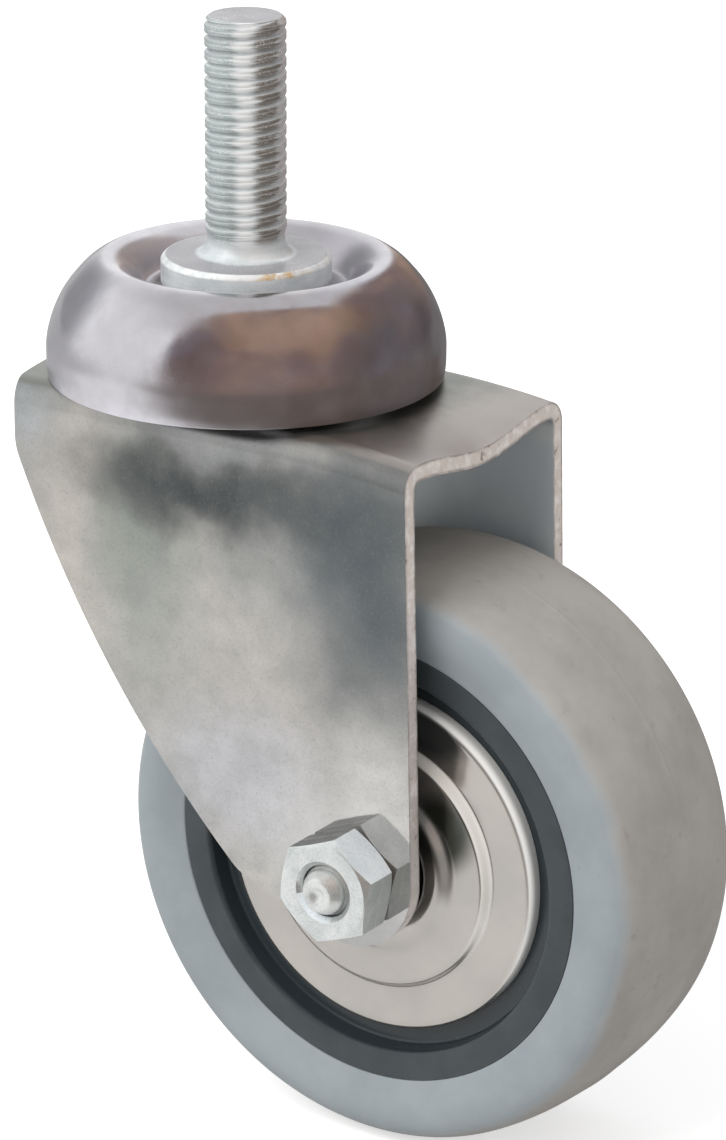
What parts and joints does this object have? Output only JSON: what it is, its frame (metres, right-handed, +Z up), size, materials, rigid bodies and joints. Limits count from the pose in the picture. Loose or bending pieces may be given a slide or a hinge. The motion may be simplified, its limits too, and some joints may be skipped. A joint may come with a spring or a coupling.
{
  "type": "swivel castor",
  "caption": "Swivel castor with a threaded stem and flange, a domed hood over a double ball race, a pressed steel fork and a grey rubber-tyred wheel on a bolted axle.",
  "frame": {"origin": "swivel axis at the top face of the stem's flange, where the furniture or trolley seats", "axes": "+Z up along the stem and swivel axis; +X toward the trailing wheel's axle; Y along the axle, with the locking nuts on the -Y side"},
  "size_m": [0.1128, 0.0625, 0.1726],
  "materials": {
    "bright_zinc": "bright zinc plate, slightly blue, machined and rolled surfaces",
    "hood_metal": "bright plated pressing, soft blurred reflections",
    "fork_zinc": "zinc plated pressed sheet, cloudy satin with fine grain, sheared edges",
    "guard_metal": "bright plated pressed disc",
    "race_steel": "ground steel, lightly greased",
    "ball_steel": "polished steel balls",
    "tyre_rubber": "matt grey rubber, smooth side wall, faintly scuffed tread",
    "core_plastic": "dark grey moulded plastic, low sheen"
  },
  "bodies": {
    "head": {"threaded_stem": "bright_zinc", "hood": "hood_metal", "upper_race": "race_steel", "lower_race": "race_steel", "king_washer": "bright_zinc"},
    "fork": {"fork": "fork_zinc", "upper_balls": "ball_steel", "lower_balls": "ball_steel", "axle_bolt": "bright_zinc", "bolt_washer": "bright_zinc", "inner_nut": "bright_zinc", "outer_nut": "bright_zinc", "axle_sleeve": "race_steel", "hub_collar_near": "bright_zinc", "hub_collar_far": "bright_zinc", "bearing_inner_near": "race_steel", "bearing_inner_far": "race_steel"},
    "wheel": {"wheel_core": "core_plastic", "tyre": "tyre_rubber", "guard_near": "guard_metal", "guard_far": "guard_metal", "bearing_outer_near": "race_steel", "bearing_outer_far": "race_steel", "bearing_balls_near": "ball_steel", "bearing_balls_far": "ball_steel"}
  },
  "joints": [
    {"name": "swivel", "type": "hinge", "parent": "head", "child": "fork", "pos_m": [0, 0, 0], "axis": [0, 0, 1], "continuous": true},
    {"name": "wheel_spin", "type": "hinge", "parent": "fork", "child": "wheel", "pos_m": [0.0342, 0, -0.0883], "axis": [0, 1, 0], "continuous": true}
  ]
}
